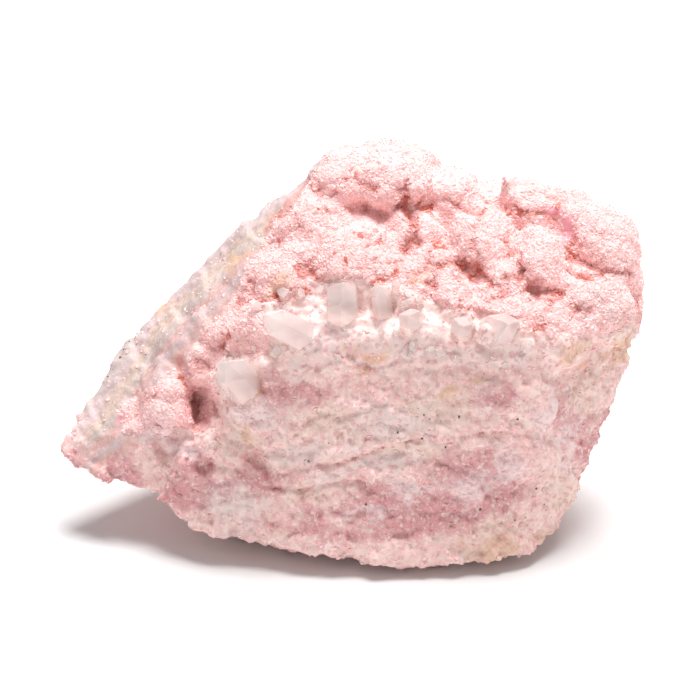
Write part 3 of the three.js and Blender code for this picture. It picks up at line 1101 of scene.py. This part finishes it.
def wear_edges(piece, breadth):
    """Bevels a crystal's true edges. The seams between faces in one plane are dissolved first."""
    mesh = bmesh.new()
    mesh.from_mesh(piece.data)
    bmesh.ops.remove_doubles(mesh, verts=mesh.verts, dist=0.01 * MM)
    bmesh.ops.dissolve_limit(mesh, angle_limit=math.radians(1), verts=mesh.verts, edges=mesh.edges)
    shape = {"segments": 1, "affect": "EDGES", "clamp_overlap": True}
    bmesh.ops.bevel(mesh, geom=mesh.edges, offset=breadth, **shape)
    bmesh.ops.triangulate(mesh, faces=[f for f in mesh.faces if len(f.verts) > 4])
    mesh.to_mesh(piece.data)
    mesh.free()


class SPECIMEN_OT_quartz(bpy.types.Operator):
    """Gives the large quartz crystals worn edges and a clear finish"""

    bl_idname = "specimen.quartz"
    bl_label = "Large quartz crystals"

    def execute(self, context):
        settings = context.scene.specimen_quartz
        material = quartz_material("clear_quartz", settings, opacity=0.62, roughness=0.03)
        for node in QUARTZ_NODES:
            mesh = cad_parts[node].data.copy()
            mesh.materials.clear()
            mesh.materials.append(material)
            crystal = added(node + "_crystal", mesh)
            wear_edges(crystal, settings.bevel)
            keep(crystal)
            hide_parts(node)
        return {"FINISHED"}


class SPECIMEN_OT_quartz_points(bpy.types.Operator):
    """Sets the small quartz crystals along the ledge"""

    bl_idname = "specimen.quartz_points"
    bl_label = "Small quartz crystals"

    def execute(self, context):
        settings = context.scene.specimen_quartz
        random = np.random.default_rng(31)
        graph = context.evaluated_depsgraph_get()
        rock = bpy.data.objects["rhodochrosite_rock"]
        wish = recall(rock.data, "quartz") ** 2
        places, normals, _ = spread_over(rock.data, wish, settings.points, POINT_SPACING, random)
        crystals = [bpy.data.objects[node + "_crystal"] for node in QUARTZ_NODES]
        large = [BVHTree.FromObject(crystal, graph) for crystal in crystals]
        points, faces = [], []
        for spot, normal in zip(places, normals):
            width = random.uniform(*POINT_WIDTHS) * MM
            axis = normal + POINTS_FACE
            turn = turned((axis / np.linalg.norm(axis))[None], 0.35, random)[0]
            height = width * random.uniform(0.5, 1.2)
            corners, sides = crystal_points(width, height, random.uniform(0.7, 1), random)
            if any(tree.find_nearest(Vector(spot))[3] < width * 0.8 for tree in large):
                continue
            faces += [tuple(len(points) + k for k in side) for side in sides]
            points += (corners @ turn.T + spot).tolist()
        material = quartz_material("milky_quartz", settings, opacity=0.66, roughness=0.1)
        keep(mesh_piece("quartz_points", points, faces, material))
        return {"FINISHED"}


# ---- The stage ----


class SPECIMEN_OT_stage(bpy.types.Operator):
    """Sets the floor, the soft light and the camera"""

    bl_idname = "specimen.stage"
    bl_label = "Stage"

    def execute(self, context):
        stage = context.scene.specimen_stage
        half = stage.floor_size / 2
        corners = [(-half, -half, 0), (half, -half, 0), (half, half, 0), (-half, half, 0)]
        paper = Shader("floor_paper").surface({"Base Color": stage.floor_colour, "Roughness": 1.0})
        mesh_piece("floor", corners, [(0, 1, 2, 3)], paper)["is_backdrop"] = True

        world = bpy.data.worlds.new("white_surroundings")
        world.use_nodes = True
        sky = world.node_tree.nodes["Background"]
        sky.inputs["Color"].default_value = (1, 1, 1, 1)
        sky.inputs["Strength"].default_value = stage.sky_strength
        context.scene.world = world

        lamp = bpy.data.lights.new("soft_lamp", "AREA")
        lamp.shape = "SQUARE"
        lamp.size = stage.lamp_size
        lamp.energy = stage.lamp_power
        holder = added("soft_lamp", lamp)
        holder.location = stage.lamp_place
        towards = Vector(stage.aim) - holder.location
        holder.rotation_euler = towards.to_track_quat("-Z", "Y").to_euler()

        lens = bpy.data.cameras.new("camera")
        lens.sensor_width = 36.0
        lens.lens = lens.sensor_width * stage.distance / stage.view_width
        lens.clip_start = 0.01
        camera = added("camera", lens)
        camera.location, _ = from_card((0, 0), stage)
        camera.rotation_euler = (math.pi / 2 - stage.height_angle, 0, 0)
        context.scene.camera = camera
        context.scene.view_settings.view_transform = "Standard"
        return {"FINISHED"}


# ---- The add-on ----

GROUPS = {
    "specimen_stage": StageSettings,
    "specimen_rock": RockSettings,
    "specimen_druse": DruseSettings,
    "specimen_quartz": QuartzSettings,
}
OPERATORS = [
    SPECIMEN_OT_stage,
    SPECIMEN_OT_rock,
    SPECIMEN_OT_druse,
    SPECIMEN_OT_sulphide,
    SPECIMEN_OT_quartz,
    SPECIMEN_OT_quartz_points,
]


class SPECIMEN_PT_panel(bpy.types.Panel):
    """Lists the specimen's pieces and their settings"""

    bl_idname = "SPECIMEN_PT_panel"
    bl_label = "Rhodochrosite Specimen"
    bl_space_type = "VIEW_3D"
    bl_region_type = "UI"
    bl_category = "Specimen"

    def draw(self, context):
        for operator in OPERATORS:
            self.layout.operator(operator.bl_idname)
        for name, group in GROUPS.items():
            column = self.layout.column(heading=group.__name__)
            for setting in group.__annotations__:
                column.prop(getattr(context.scene, name), setting)


CLASSES = [*GROUPS.values(), *OPERATORS, SPECIMEN_PT_panel]


def register():
    for made in CLASSES:
        bpy.utils.register_class(made)
    for name, group in GROUPS.items():
        setattr(bpy.types.Scene, name, PointerProperty(type=group))


def unregister():
    for name in GROUPS:
        delattr(bpy.types.Scene, name)
    for made in reversed(CLASSES):
        bpy.utils.unregister_class(made)


def main():
    register()
    bpy.ops.specimen.stage()
    bpy.ops.specimen.rock()
    bpy.ops.specimen.druse()
    bpy.ops.specimen.sulphide()
    bpy.ops.specimen.quartz()
    bpy.ops.specimen.quartz_points()
    boxes = {"cad": FRAME_BOX, "visual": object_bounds()}
    {name: [list(corner) for corner in box] for name, box in boxes.items()}


if __name__ == "__main__":
    main()
